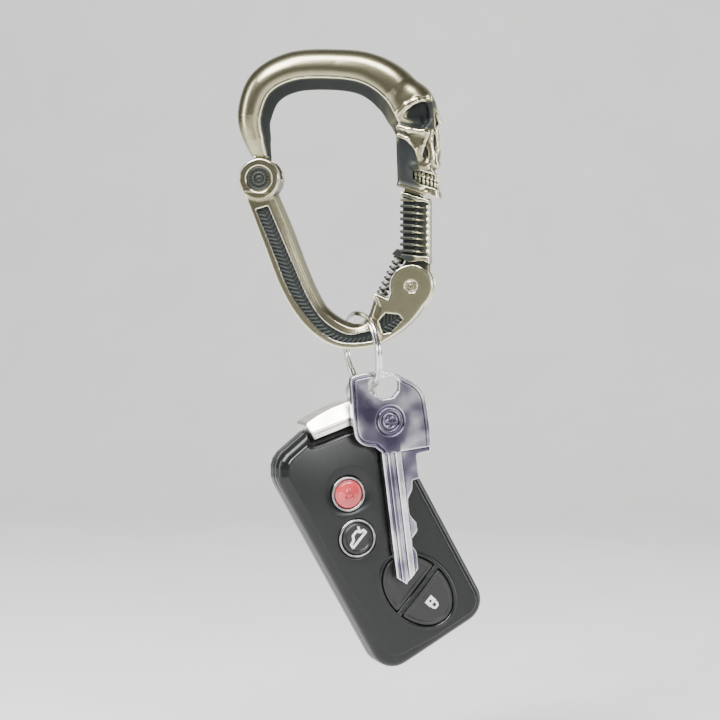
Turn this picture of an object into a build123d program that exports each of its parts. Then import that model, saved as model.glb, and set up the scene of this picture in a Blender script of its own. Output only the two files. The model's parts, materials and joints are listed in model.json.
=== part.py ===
from build123d import *

import math
import os

# A skull carabiner that carries a split ring, a house key and a car key fob, hung as in use.
# Millimetres. +Z is up, +X is right and the front faces -Y. The origin is the seat under the top
# of the hook, where a strap or belt loop lies, in the middle of the carabiner's depth.

os.makedirs("parts", exist_ok=True)

# Carabiner
frame_half_depth = 4.5
frame_edge_round = 3.0
hook_depth_ratio = 0.94
boss_x, boss_z, boss_r = -23.6, -25.7, 6.1
boss_disc_r, boss_disc_t = 3.7, 0.8
rivet_r = 2.0
tongue_r, tongue_half = 3.8, 2.5
pivot_x, pivot_z, pivot_r = 21.1, -57.0, 6.4
pin_r, pin_head_r, pin_head_t = 1.4, 1.7, 0.5
gate_tongue_half = 2.3
clevis_gap = 0.15
running_gap = 0.05
gate_half_depth = 4.1
latch_half = 1.9
skull_half_depth = 6.2
channel_depth = 0.7

# Gate spring, seated between the frame's shoulder and the gate's heel
spring_foot = (12.0, -59.4)
spring_head = (17.2, -48.6)
spring_r, spring_wire, spring_turns = 1.35, 0.5, 7

# Split ring: where its inside rests on the bar, how far it is turned and how far it leans
ring_top_x, ring_top_z = 4.8, -65.5
ring_inner_r, ring_outer_r, ring_thick = 10.6, 12.0, 1.9
ring_yaw, ring_lean = 32.0, 8.0

# The key and the fob hang flat to this turn about the vertical, each from a place on the ring
# counted in degrees from its lowest point, forward positive
hang_yaw = 28.0
key_hang_angle, fob_hang_angle = 26.0, -21.0

# House key, in its own plane with the hole's middle as its origin
key_thick = 2.2
key_tilt = 7.2
key_grip = (-3.3, 1.1)

# Car key fob, in its own plane with the case's middle as its origin
fob_half_w, fob_half_l, fob_half_t = 19.0, 39.0, 6.5
fob_tilt = 29.2
wall = 1.6
corner_r = 7.0
cap_slope = math.tan(math.radians(10))
eye_a, eye_l, eye_r, eye_hole_r, eye_half_t = 17.0, 37.5, 4.7, 3.3, 1.6
eye_slack = 1.3
button_gap = 0.15
button_proud = 0.45
flange_t, flange_lip = 0.5, 0.6
blade_a, blade_s, blade_w, blade_t, blade_l = 12.6, -2.6, 6.4, 2.0, 42.0
round_buttons = {"panic": (-3.0, 15.0, 4.2), "boot": (-7.0, 2.2, 4.7)}
bezel_w = 1.0
pad_a, pad_l, pad_half_w, pad_half_l, pad_turn, pad_split = 1.6, -21.4, 8.8, 12.6, 20.0, 1.9


def flat(points):
    """A face in the XZ plane through straight edges."""
    return Plane.XZ * make_face(Polyline(*points, close=True).edges())


def plate(face, front, back):
    """A face of the XZ plane made solid from depth front (nearer, in -Y) to depth back."""
    return Pos(0, back, 0) * extrude(face, back - front)


def disc(x, z, r, front, back):
    return plate(Pos(x, 0, z) * (Plane.XZ * Circle(r)), front, back)


def save(shape, name):
    export_step(shape, f"parts/{name}.step")


# ---------------------------------------------------------------- carabiner
def frame_outline():
    """The lower casting's outline: the left leg, the bottom bend and the clevis cheek."""
    outer = Spline(
        (-28.6, -29.3), (-21.9, -45.8), (-12.0, -66.4), (0.8, -75.0), (15.3, -71.8), (26.4, -60.4)
    )
    crown = ThreePointArc((26.4, -60.4), (21.1, -50.6), (14.9, -55.4))
    shoulder = Polyline((14.9, -55.4), (14.3, -60.6), (10.2, -58.8), (9.6, -61.8))
    inner = Spline(
        (9.6, -61.8), (7.6, -66.5), (3.3, -67.8), (-3.3, -63.9), (-10.6, -50.0), (-18.4, -29.3)
    )
    top = Line((-18.4, -29.3), (-28.6, -29.3))
    runs = (outer, crown, shoulder, inner, top)
    return Plane.XZ * make_face([edge for run in runs for edge in run.edges()])


def bar_edges(solid):
    """The long inner edges of the frame that a hand and the ring touch."""
    return [
        e for e in solid.edges()
        if e.length > 30 and abs(abs(e.center().Y) - frame_half_depth) < 0.01
        and e.center().Z > -60.5
    ]


def channel():
    """The sunk panel that runs down the leg and round the bottom bend, one side."""
    outer = Spline((-25.2, -35.4), (-20.3, -45.4), (-10.9, -65.0), (0.9, -73.4), (12.0, -72.3))
    end = Line((12.0, -72.3), (10.3, -68.8))
    inner = Spline((10.3, -68.8), (1.9, -70.2), (-7.6, -62.4), (-15.4, -45.6), (-20.6, -34.2))
    start = Line((-20.6, -34.2), (-25.2, -35.4))
    return Plane.XZ * make_face([*outer.edges(), *end.edges(), *inner.edges(), *start.edges()])


def pocket():
    """The small separate panel beside the clevis cheek."""
    return flat([(11.6, -67.2), (13.6, -64.8), (17.6, -65.2), (18.6, -66.6), (15.0, -70.4), (12.8, -70.6)])


def lower_frame():
    body = plate(frame_outline(), -frame_half_depth, frame_half_depth)
    body = fillet(bar_edges(body), frame_edge_round)
    boss = disc(boss_x, boss_z, boss_r, -frame_half_depth, frame_half_depth)
    body += boss
    for side in (-1, 1):
        depths = sorted((side * frame_half_depth, side * (frame_half_depth - channel_depth)))
        for panel in (channel(), pocket()):
            body -= plate(panel, *depths)
        rim = sorted((side * frame_half_depth, side * (frame_half_depth - boss_disc_t)))
        body -= disc(boss_x, boss_z, boss_disc_r, *rim)
    # The hook's tongue goes down into the boss, and the rivet holds it there
    top = boss_z + 8
    slot = flat([(-30.5, boss_z), (-16.5, boss_z), (-16.5, top), (-30.5, top)])
    body -= plate(slot, -tongue_half, tongue_half)
    body -= disc(boss_x, boss_z, tongue_r + 0.25, -tongue_half, tongue_half)
    body -= disc(boss_x, boss_z, rivet_r, -frame_half_depth, frame_half_depth)
    # Clevis slot for the gate's tongue, open to the spring
    slot = gate_tongue_half + clevis_gap
    body -= plate(flat([(14.6, -63.4), (29.0, -63.4), (29.0, -49.0), (14.6, -49.0)]), -slot, slot)
    body -= disc(pivot_x, pivot_z, pin_r, -frame_half_depth, frame_half_depth)
    for side in (-1, 1):
        head = sorted((side * frame_half_depth, side * (frame_half_depth - pin_head_t)))
        body -= disc(pivot_x, pivot_z, pin_head_r, *head)
    return body


def arm_station(x, z, heading, width):
    """An oval section of the hook at (x, z), square to its heading in degrees."""
    turn = math.radians(heading)
    plane = Plane(origin=(x, 0, z), x_dir=(-math.sin(turn), 0, math.cos(turn)),
                  z_dir=(math.cos(turn), 0, math.sin(turn)))
    return plane * Ellipse(width / 2, width / 2 * hook_depth_ratio)


def hook_arm():
    """The smooth arm, from the knuckle over the top to the brow."""
    stations = [
        (-23.2, -19.2, 97, 5.4), (-24.6, -14.4, 98, 8.0), (-25.6, -7.2, 90, 10.2),
        (-22.2, 1.2, 52, 11.6), (-13.6, 5.6, 15, 11.9), (-1.0, 6.0, -2, 11.9),
        (8.2, 4.4, -17, 12.4), (15.6, -0.4, -48, 13.4), (19.6, -7.4, -68, 13.6),
    ]
    return loft([arm_station(*s) for s in stations])


def skull_profile():
    """The face seen from the side: brow, nose, upper jaw, chin and the back of the jaw."""
    return flat([
        (17.0, -4.0), (22.0, 1.0), (26.4, -1.6), (27.6, -6.6), (30.0, -10.0), (28.8, -13.4),
        (28.2, -17.4), (29.6, -22.0), (29.0, -27.0), (29.6, -31.8), (17.4, -28.0), (16.8, -18.0),
        (15.4, -11.0),
    ])


def skull_hook():
    arm = hook_arm()
    face = plate(skull_profile(), -skull_half_depth, skull_half_depth)
    face = chamfer(face.edges().filter_by(Axis.Y, reverse=True), 1.8)
    body = arm + face
    for side in (-1, 1):
        socket = Location((22.6, side * (skull_half_depth + 0.3), -7.6)) * Sphere(3.6)
        cheek = Location((20.2, side * (skull_half_depth + 1.4), -20.5)) * Sphere(4.2)
        body -= socket
        body -= cheek
    # Slot up into the jaw that the gate's latch nose closes against
    roof = -24.8
    nose = latch_half + clevis_gap
    body -= plate(flat([(14.0, -34.0), (24.3, -34.0), (24.3, roof), (14.0, roof)]), -nose, nose)
    # Tongue that goes down into the knuckle boss
    neck = flat([(-25.8, -17.5), (-25.8, boss_z), (-20.8, boss_z), (-20.8, -17.5)])
    body += plate(neck, -tongue_half, tongue_half)
    body += disc(boss_x, boss_z, tongue_r, -tongue_half, tongue_half)
    body -= disc(boss_x, boss_z, rivet_r, -3, 3)
    body -= disc(boss_x, boss_z, boss_r + 0.35, -8, -tongue_half)
    body -= disc(boss_x, boss_z, boss_r + 0.35, tongue_half, 8)
    return body


def gate():
    """The closing arm, cast as a run of vertebrae, with its tongue, heel and latch nose."""
    outline = flat([
        (17.7, -29.2), (26.3, -31.9), (26.4, -50.2), (24.6, -48.9), (20.2, -49.3), (18.7, -48.4),
        (17.7, -47.2),
    ])
    body = plate(outline, -gate_half_depth, gate_half_depth)
    ribs, first, pitch = 9, -32.6, 1.95
    for n in range(ribs):
        z = first - n * pitch
        for side in (-1, 1):
            notch = Pos(22.0, side * gate_half_depth, z) * Cylinder(0.45, 12, rotation=(0, 90, 0))
            body -= notch
    nose = flat([(18.6, -31.5), (18.6, -25.9), (24.0, -25.3), (24.0, -33.0)])
    body += plate(nose, -latch_half, latch_half)
    web = flat([
        (18.0, -47.0), (26.0, -48.0), (26.0, -57.0), (15.9, -57.0), (17.9, -51.5), (18.9, -49.6),
    ])
    heel = flat([(15.1, -47.6), (19.3, -49.6), (19.3, -46.0), (16.6, -46.0)])
    for shape in (web, heel):
        body += plate(shape, -gate_tongue_half, gate_tongue_half)
    body += disc(pivot_x, pivot_z, 5.2, -gate_tongue_half, gate_tongue_half)
    # Room for the clevis cheeks as the gate swings
    for lo, hi in ((-8, -gate_tongue_half), (gate_tongue_half, 8)):
        body -= disc(pivot_x, pivot_z, pivot_r + 0.5, lo, hi)
    body -= disc(pivot_x, pivot_z, pin_r + running_gap, -3, 3)
    return body


def gate_pin():
    pin = disc(pivot_x, pivot_z, pin_r, -frame_half_depth, frame_half_depth)
    pin += disc(pivot_x, pivot_z, pin_head_r, -frame_half_depth, pin_head_t - frame_half_depth)
    pin += disc(pivot_x, pivot_z, pin_head_r, frame_half_depth - pin_head_t, frame_half_depth)
    return pin


def gate_spring():
    """Compression spring as its wire, wound about the line from the foot to the head."""
    run = Vector(spring_head[0] - spring_foot[0], 0, spring_head[1] - spring_foot[1])
    height = run.length
    path = Helix(pitch=(height - 2 * spring_wire) / spring_turns, height=height - 2 * spring_wire,
                 radius=spring_r)
    start = Plane(origin=path @ 0, z_dir=path % 0)
    coil = sweep(start * Circle(spring_wire / 2), path=path)
    seat = Plane(origin=(spring_foot[0], 0, spring_foot[1]), x_dir=(0, 1, 0), z_dir=run.normalized())
    return seat * Pos(0, 0, spring_wire) * coil


def boss_disc(side):
    depths = sorted((side * (frame_half_depth - 0.05), side * (frame_half_depth - boss_disc_t)))
    body = disc(boss_x, boss_z, boss_disc_r, *depths)
    groove = sorted((side * frame_half_depth, side * (frame_half_depth - 0.35)))
    ring = disc(boss_x, boss_z, 2.5, *groove) - disc(boss_x, boss_z, 1.8, *groove)
    return body - ring


def knuckle_rivet():
    half = frame_half_depth - boss_disc_t
    return disc(boss_x, boss_z, rivet_r, -half, half)


# ---------------------------------------------------------------- hanging pieces
def ring_wire(angle):
    """The middle of the ring's wire, so many degrees forward of its lowest point."""
    r = (ring_inner_r + ring_outer_r) / 2
    forward = r * math.sin(math.radians(angle))
    drop = -ring_inner_r - r * math.cos(math.radians(angle))
    yaw, lean = math.radians(ring_yaw), math.radians(ring_lean)
    x, y = forward * math.sin(yaw), -forward * math.cos(yaw)
    return (
        ring_top_x + x * math.cos(lean) - drop * math.sin(lean),
        y,
        ring_top_z + x * math.sin(lean) + drop * math.cos(lean),
    )


def hang(shape, grip, tilt, angle):
    """Hangs a piece made in its own XZ plane on the ring, by its point grip."""
    piece = Pos(-grip[0], 0, -grip[1]) * shape
    return Pos(*ring_wire(angle)) * piece.rotate(Axis.Y, -tilt).rotate(Axis.Z, hang_yaw)


def split_ring():
    """Two turns of flat wire closed up on each other, with the seam between them."""
    body = Cylinder(ring_outer_r, ring_thick) - Cylinder(ring_inner_r, ring_thick)
    body -= Cylinder(ring_outer_r, 0.12) - Cylinder(ring_outer_r - 0.35, 0.12)
    body = body.rotate(Axis.Y, 90).rotate(Axis.Z, ring_yaw)
    body = Pos(0, 0, -ring_inner_r) * body
    return Pos(ring_top_x, 0, ring_top_z) * body.rotate(Axis.Y, -ring_lean)


def key_outline():
    bow = Polyline(
        (-3.7, -18.7), (-5.5, -16.8), (-9.4, -15.4), (-11.4, -11.4), (-10.6, 3.6), (-9.6, 4.7),
        (-2.3, 5.1), (2.7, 3.9), (7.0, 1.3), (10.5, -1.7), (11.8, -6.0), (12.0, -13.3),
        (11.4, -20.2), (7.0, -20.9),
    )
    bitting = Polyline(
        (7.0, -20.9), (7.1, -28.0), (4.8, -28.3), (4.4, -31.0), (2.7, -33.6), (2.7, -38.2),
        (4.5, -41.0), (4.5, -43.4), (2.5, -45.4), (2.5, -47.6), (3.6, -49.6), (3.4, -54.6),
        (-0.8, -58.4), (-3.6, -56.0), (-3.7, -18.7),
    )
    return Plane.XZ * make_face([*bow.edges(), *bitting.edges()])


def house_key():
    half = key_thick / 2
    body = plate(key_outline(), -half, half)
    hole = flat([
        (-5.1, 1.9), (-4.2, 2.9), (2.6, 2.9), (4.0, 1.2), (3.6, -1.4), (1.8, -3.0), (-1.6, -3.0),
        (-5.1, -0.4),
    ])
    body -= plate(hole, -5, 5)
    grooves = ((-2.2, 1.1, -1), (1.2, 0.8, -1), (-0.4, 1.1, 1))
    for a, width, side in grooves:
        strip = flat([(a, -19.0), (a + width, -19.0), (a + width, -60.0), (a, -60.0)])
        depths = sorted((side * half, side * (half - 0.6)))
        body -= plate(strip, *depths)
    emblem = disc(0.0, -9.8, 4.4, -half, 0.35 - half) - disc(0.0, -9.8, 3.6, -half, 0.35 - half)
    body -= emblem
    return hang(body, key_grip, key_tilt, key_hang_angle)


# ---------------------------------------------------------------- car key fob
def fob_grip():
    """Where the ring's wire lies in the end cap's eye, just under the eye's top."""
    tilt = math.radians(fob_tilt)
    return eye_a + eye_slack * math.sin(tilt), eye_l + eye_slack * math.cos(tilt)


def fob_place(shape):
    return hang(shape, fob_grip(), fob_tilt, fob_hang_angle)


def notch_floor(a):
    """Height of the slanted floor that the end cap sits on."""
    return 34.0 - (a + 4.2) * cap_slope


def case_outline(inset=0.0):
    w = fob_half_w - inset
    bottom = -fob_half_l + inset
    r = corner_r - inset
    floor_left = notch_floor(-4.2) - inset
    shoulder = 36.4 - inset
    edges = [
        *Line((-w, bottom + r), (-w, 27.0)).edges(),
        *ThreePointArc((-w, 27.0), (-w + 1.9, 32.2 - inset), (-13.4 + inset, 34.8 - inset)).edges(),
        *Line((-13.4 + inset, 34.8 - inset), (-4.2 - inset, shoulder)).edges(),
        *Line((-4.2 - inset, shoulder), (-4.2 - inset, floor_left)).edges(),
        *Line((-4.2 - inset, floor_left), (w, notch_floor(w) - inset)).edges(),
        *Line((w, notch_floor(w) - inset), (w, bottom + r)).edges(),
        *ThreePointArc((w, bottom + r), (w - 0.29 * r, bottom + 0.29 * r), (w - r, bottom)).edges(),
        *Line((w - r, bottom), (-w + r, bottom)).edges(),
        *ThreePointArc((-w + r, bottom), (-w + 0.29 * r, bottom + 0.29 * r), (-w, bottom + r)).edges(),
    ]
    return Plane.XZ * make_face(edges)


def pad_half(sign, grow=0.0):
    """One half of the split oval key pad: sign -1 is the lower half, +1 the upper."""
    oval = Plane.XZ * Ellipse(pad_half_w + grow, pad_half_l + grow)
    edge = pad_split / 2 - grow
    far = 20.0
    keep = Plane.XZ * (Pos(0, sign * (edge + far) / 2 + sign * edge / 2) * Rectangle(2 * far, far))
    half = oval & keep
    return Pos(pad_a, 0, pad_l) * half.rotate(Axis.Y, -pad_turn)


def blade_slot():
    half_w = blade_w / 2 + 0.2
    strip = flat([(blade_a - half_w, 20.0), (blade_a + half_w, 20.0),
                  (blade_a + half_w, 36.0), (blade_a - half_w, 36.0)])
    return plate(strip, -blade_s - blade_t / 2 - 0.2, -blade_s + blade_t / 2 + 0.2)


def shell_blank(side, bevel):
    """Half of the case as a solid block with a bevelled rim: side -1 is the front, +1 the back."""
    shoulder = side * (fob_half_t - bevel)
    block = plate(case_outline(), min(0, shoulder), max(0, shoulder))
    base = Pos(0, shoulder, 0) * case_outline()
    face = Pos(0, side * fob_half_t, 0) * case_outline(bevel)
    return block + loft([base, face], ruled=True)


def fob_front():
    body = shell_blank(-1, 1.5)
    body -= plate(case_outline(wall), wall - fob_half_t, 0)
    for a, l, r in round_buttons.values():
        body -= disc(a, l, r + bezel_w + 0.05, -8, 0)
    for sign in (-1, 1):
        body -= plate(pad_half(sign, button_gap), -8, 0)
    body -= blade_slot()
    return fob_place(body)


def latch_window(grow):
    return flat([(-11.0 - grow, 22.0 - 2.1 - grow), (-5.0 + grow, 22.0 - 2.1 - grow),
                 (-5.0 + grow, 27.0 + grow), (-11.0 - grow, 27.0 + grow)])


def fob_rear():
    body = shell_blank(1, 2.0)
    body -= plate(case_outline(wall), 0, fob_half_t - wall)
    body -= plate(latch_window(0.1), fob_half_t - 3, fob_half_t + 1)
    body -= blade_slot()
    return fob_place(body)


def round_button(a, l, r):
    face = button_proud + fob_half_t
    under = fob_half_t - wall
    body = disc(a, l, r, -face, -under + flange_t)
    body = chamfer(body.edges().filter_by(GeomType.CIRCLE).sort_by(Axis.Y)[0], 0.4)
    body += disc(a, l, r + flange_lip, -under + 0.05, -under + flange_t)
    return fob_place(body)


def pad_button(sign):
    face = button_proud + fob_half_t - 0.2
    under = fob_half_t - wall
    body = plate(pad_half(sign), -face, -under + flange_t)
    body += plate(pad_half(sign, flange_lip), -under + 0.05, -under + flange_t)
    return fob_place(body)


def bezel(a, l, r):
    """Bright ring pressed into the front shell round a round button."""
    front = fob_half_t + 0.25
    back = fob_half_t - wall + 0.1
    ring = disc(a, l, r + bezel_w, -front, -back) - disc(a, l, r + button_gap, -front, -back)
    return fob_place(ring)


def end_cap():
    """Bright end cap of the emergency key, with the eye that the ring goes through."""
    gap = 0.15
    lift = notch_floor(-4.05) + gap
    outline = flat([
        (-4.05, lift), (-3.9, 39.2), (1.0, 39.2), (10.4, 38.2), (15.0, 36.2), (18.9, 34.0),
        (18.9, notch_floor(18.9) + gap),
    ])
    body = plate(outline, -fob_half_t + 0.2, fob_half_t - 0.2)
    eye = disc(eye_a, eye_l, eye_r, -eye_half_t, eye_half_t)
    body = chamfer(body.edges().filter_by(Axis.Y, reverse=True), 1.0) + eye
    body -= disc(eye_a, eye_l, eye_hole_r, -8, 8)
    root = flat([(blade_a - blade_w / 2, 28.0), (blade_a + blade_w / 2, 28.0),
                 (blade_a + blade_w / 2, 33.5), (blade_a - blade_w / 2, 33.5)])
    body -= plate(root, -blade_s - blade_t / 2, -blade_s + blade_t / 2)
    return fob_place(body)


def emergency_blade():
    lo, hi = blade_a - blade_w / 2, blade_a + blade_w / 2
    top = 33.5
    tip = top - blade_l
    outline = flat([
        (lo, top), (lo, tip + 2.6), (lo + 2.4, tip), (hi - 1.4, tip + 1.6), (hi - 1.4, tip + 6.0),
        (hi - 0.4, tip + 7.4), (hi - 1.8, tip + 10.0), (hi - 0.6, tip + 13.0), (hi - 2.0, tip + 16.0),
        (hi - 1.0, tip + 19.0), (hi, tip + 21.0), (hi, top),
    ])
    body = plate(outline, -blade_s - blade_t / 2, -blade_s + blade_t / 2)
    return fob_place(body)


def membrane():
    sheet = plate(flat([(-16.4, -34.4), (16.4, -34.4), (16.4, 22.0), (-16.4, 22.0)]), -3.75, -3.3)
    return fob_place(sheet)


def circuit_board():
    board = plate(flat([(-16.4, -34.4), (16.4, -34.4), (16.4, 22.0), (-16.4, 22.0)]), -2.5, -1.5)
    return fob_place(board)


def switch_places():
    turn = math.radians(pad_turn)
    places = [(a, l) for a, l, r in round_buttons.values()]
    for sign in (-1, 1):
        reach = sign * pad_half_l * 0.45
        places.append((pad_a - reach * math.sin(turn), pad_l + reach * math.cos(turn)))
    return places


def tact_switches():
    """One low switch on the board under each button."""
    switches = []
    for a, l in switch_places():
        body = Pos(a, -2.8, l) * Box(4.2, 0.6, 3.2)
        dome = disc(a, l, 1.0, -3.25, -3.1)
        switches.append(fob_place(body + dome))
    return Compound(children=switches)


def control_chip():
    return fob_place(Pos(9.0, -1.05, 8.0) * Box(5.0, 0.9, 5.0))


def antenna_coil():
    """Low-frequency coil: a flat winding on its core at the bottom of the board."""
    core = Pos(10.0, -0.3, -30.0) * Box(9.0, 2.4, 6.0)
    winding = Pos(10.0, -0.3, -30.0) * (Box(5.0, 2.4, 7.6) - Box(5.0, 2.4, 6.0))
    return fob_place(core + winding)


def coin_cell():
    cell = disc(-6.0, -12.0, 10.0, 0.3, 3.5)
    return fob_place(chamfer(cell.edges().sort_by(Axis.Y)[-1], 0.4))


def cell_contact(name):
    if name == "positive":
        strip = Pos(-6.0, 4.1, -12.0) * Box(5.0, 0.25, 22.6)
        leg = Pos(-6.0, 1.4, -23.0) * Box(5.0, 5.65, 0.6)
        return fob_place(strip + leg)
    strip = Pos(-6.0, -0.1, -12.0) * Box(4.0, 0.25, 12.0)
    pad = Pos(-6.0, -0.85, -7.0) * Box(3.0, 1.3, 2.0)
    return fob_place(strip + pad)


def release_latch():
    """Thumb slider on the back that lets the emergency key out."""
    thumb = flat([(-10.9, 22.0), (-5.1, 22.0), (-5.1, 26.9), (-10.9, 26.9)])
    foot = flat([(-12.4, 22.0), (-3.6, 22.0), (-3.6, 26.9), (-12.4, 26.9)])
    stem = flat([(-9.4, 22.6), (-6.6, 22.6), (-6.6, 26.4), (-9.4, 26.4)])
    body = plate(thumb, 5.4, fob_half_t + 0.6) + plate(foot, 3.6, fob_half_t - wall - 0.1)
    return fob_place(body + plate(stem, 4.7, 5.6))


def latch_spring():
    """Coil that pushes the latch home, lying behind its foot."""
    length, turns, wire = 4.6, 6, 0.4
    path = Helix(pitch=(length - wire) / turns, height=length - wire, radius=1.0)
    coil = sweep(Plane(origin=path @ 0, z_dir=path % 0) * Circle(wire / 2), path=path)
    return fob_place(Pos(-8.0, 3.7, 17.2) * coil)


carabiner_pieces = {
    "skull_hook": skull_hook, "lower_frame": lower_frame, "knuckle_rivet": knuckle_rivet,
    "gate_pin": gate_pin, "gate_spring": gate_spring, "spine_gate": gate,
    "split_ring": split_ring, "house_key": house_key,
}
fob_pieces = {
    "fob_front_shell": fob_front, "fob_rear_shell": fob_rear, "key_end_cap": end_cap,
    "emergency_key_blade": emergency_blade, "button_membrane": membrane,
    "circuit_board": circuit_board, "tact_switches": tact_switches, "control_chip": control_chip,
    "antenna_coil": antenna_coil, "coin_cell": coin_cell, "release_latch": release_latch,
    "latch_spring": latch_spring,
}

for name, make in {**carabiner_pieces, **fob_pieces}.items():
    save(make(), name)
save(boss_disc(-1), "boss_disc_front")
save(boss_disc(1), "boss_disc_rear")
save(cell_contact("positive"), "cell_contact_positive")
save(cell_contact("negative"), "cell_contact_negative")
for name, (a, l, r) in round_buttons.items():
    save(round_button(a, l, r), f"button_{name}")
    save(bezel(a, l, r), f"bezel_{name}")
save(pad_button(-1), "button_lock")
save(pad_button(1), "button_unlock")
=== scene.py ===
import json
import math
from functools import reduce

import bpy
import numpy as np
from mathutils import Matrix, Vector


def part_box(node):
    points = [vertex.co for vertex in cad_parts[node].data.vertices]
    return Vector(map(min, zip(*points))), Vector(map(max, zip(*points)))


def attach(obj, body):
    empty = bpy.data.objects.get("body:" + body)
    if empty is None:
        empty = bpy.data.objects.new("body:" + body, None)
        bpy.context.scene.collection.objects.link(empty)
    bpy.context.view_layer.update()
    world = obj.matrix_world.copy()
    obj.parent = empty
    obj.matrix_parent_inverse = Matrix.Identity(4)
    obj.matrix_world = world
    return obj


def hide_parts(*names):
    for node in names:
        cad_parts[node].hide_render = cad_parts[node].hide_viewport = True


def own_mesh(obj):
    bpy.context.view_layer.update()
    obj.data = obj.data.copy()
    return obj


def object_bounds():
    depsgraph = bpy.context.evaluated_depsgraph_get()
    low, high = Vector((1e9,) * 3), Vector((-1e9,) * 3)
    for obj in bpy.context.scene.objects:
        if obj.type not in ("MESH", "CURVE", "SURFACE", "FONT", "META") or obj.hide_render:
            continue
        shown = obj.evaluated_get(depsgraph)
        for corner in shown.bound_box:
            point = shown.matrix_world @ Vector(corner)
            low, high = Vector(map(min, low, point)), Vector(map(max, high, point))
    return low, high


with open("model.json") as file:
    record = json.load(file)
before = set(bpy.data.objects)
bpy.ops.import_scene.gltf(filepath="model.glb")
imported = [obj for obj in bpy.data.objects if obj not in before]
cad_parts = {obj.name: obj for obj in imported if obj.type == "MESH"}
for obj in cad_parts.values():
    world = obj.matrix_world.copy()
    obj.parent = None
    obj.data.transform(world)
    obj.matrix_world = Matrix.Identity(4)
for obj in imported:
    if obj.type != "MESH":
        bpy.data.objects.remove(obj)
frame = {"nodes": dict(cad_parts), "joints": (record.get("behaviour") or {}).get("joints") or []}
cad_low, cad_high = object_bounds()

import openvdb
from mathutils import Matrix, Vector

MM = 0.001
joints = {j["name"]: j for j in frame["joints"]}
coarse = 1.0


# ---- distance fields
class Block:
    """Evenly sampled space. Distances in it are millimetres to a surface, negative inside."""

    def __init__(self, low, high, step):
        self.step = step * coarse
        self.low = np.array(low, float)
        axes = [low[i] + self.step * np.arange(int((high[i] - low[i]) / self.step) + 2) for i in range(3)]
        self.x = axes[0].astype(np.float32)[:, None, None]
        self.y = axes[1].astype(np.float32)[None, :, None]
        self.z = axes[2].astype(np.float32)[None, None, :]

    def part(self, low, high):
        """The samples between two corners, as a smaller block and its place in this one."""
        cuts = []
        for i, axis in enumerate((self.x, self.y, self.z)):
            size = axis.size
            first = int((low[i] - self.low[i]) / self.step)
            last = int((high[i] - self.low[i]) / self.step) + 2
            cuts.append(slice(max(first, 0), min(last, size)))
        small = Block.__new__(Block)
        small.step = self.step
        small.low = self.low + self.step * np.array([c.start for c in cuts])
        small.x = self.x[cuts[0], :, :]
        small.y = self.y[:, cuts[1], :]
        small.z = self.z[:, :, cuts[2]]
        return small, tuple(cuts)

    def filled(self, d):
        """A field with its own value at every sample."""
        return np.array(np.broadcast_to(d, (self.x.size, self.y.size, self.z.size)), np.float32)


def curve(points, per=8):
    """A smooth line through points (Catmull-Rom)."""
    p = np.array(points, float)
    p = np.vstack([2 * p[0] - p[1], p, 2 * p[-1] - p[-2]])
    t = np.linspace(0, 1, per, endpoint=False)[:, None]
    runs = []
    for a, b, c, d in zip(p[:-3], p[1:-2], p[2:-1], p[3:]):
        square, cube = 2 * a - 5 * b + 4 * c - d, 3 * b - a - 3 * c + d
        runs.append(0.5 * (2 * b + (c - a) * t + square * t**2 + cube * t**3))
    runs.append(p[-2:-1])
    return np.vstack(runs)


def nearest(b, line):
    """Distance in the XZ plane to a line, the place along it and the side (right of travel +)."""
    best = np.full((b.x.size, 1, b.z.size), 1e6, np.float32)
    place = np.zeros_like(best)
    side = np.zeros_like(best)
    travelled = 0.0
    for (px, pz), (qx, qz) in zip(line[:-1], line[1:]):
        dx, dz = qx - px, qz - pz
        run = math.hypot(dx, dz)
        if run < 1e-6:
            continue
        ex, ez = b.x - px, b.z - pz
        t = unit((ex * dx + ez * dz) / run**2)
        d = np.hypot(ex - t * dx, ez - t * dz)
        near = d < best
        best = np.where(near, d, best)
        place = np.where(near, travelled + t * run, place)
        side = np.where(near, np.sign(ex * dz - ez * dx), side)
        travelled += run
    return best, place, side


def outline(b, points):
    """Signed distance in the XZ plane to a closed outline."""
    loop = np.vstack([points, points[:1]])
    d = nearest(b, loop)[0]
    inside = np.zeros(d.shape, bool)
    for (px, pz), (qx, qz) in zip(loop[:-1], loop[1:]):
        if pz == qz:
            continue
        crosses = (pz > b.z) != (qz > b.z)
        inside ^= crosses & (b.x < (qx - px) * (b.z - pz) / (qz - pz) + px)
    return np.where(inside, -d, d)


def unit(values):
    return np.clip(values, 0, 1)


def within(*fields):
    """The space that all of these fields share."""
    return reduce(np.maximum, fields)


def join(a, b, soft=0.0):
    if soft <= 0:
        return np.minimum(a, b)
    h = unit(0.5 + 0.5 * (b - a) / soft)
    return b * (1 - h) + a * h - soft * h * (1 - h)


def meet(a, b, soft=0.0):
    return -join(-a, -b, soft)


def cut(a, b, soft=0.0):
    return meet(a, -b, soft)


def rounded_edge(u, w, r):
    """The space behind two faces, u and w, with radius r along their edge."""
    u, w = u + r, w + r
    return np.minimum(np.maximum(u, w), 0) + np.hypot(np.maximum(u, 0), np.maximum(w, 0)) - r


def slab(b, d, half, edge=0.3):
    """A flat outline d given thickness, with rounded edges."""
    return rounded_edge(d, abs(b.y) - half, edge)


def layer(b, d, front, back, edge=0.1):
    """A flat outline d that fills one range of depth only."""
    middle, half = (front + back) / 2, (back - front) / 2
    return rounded_edge(d, abs(b.y - middle) - half, edge)


def round_at(b, x, z, r):
    return np.hypot(b.x - x, b.z - z) - r


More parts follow.
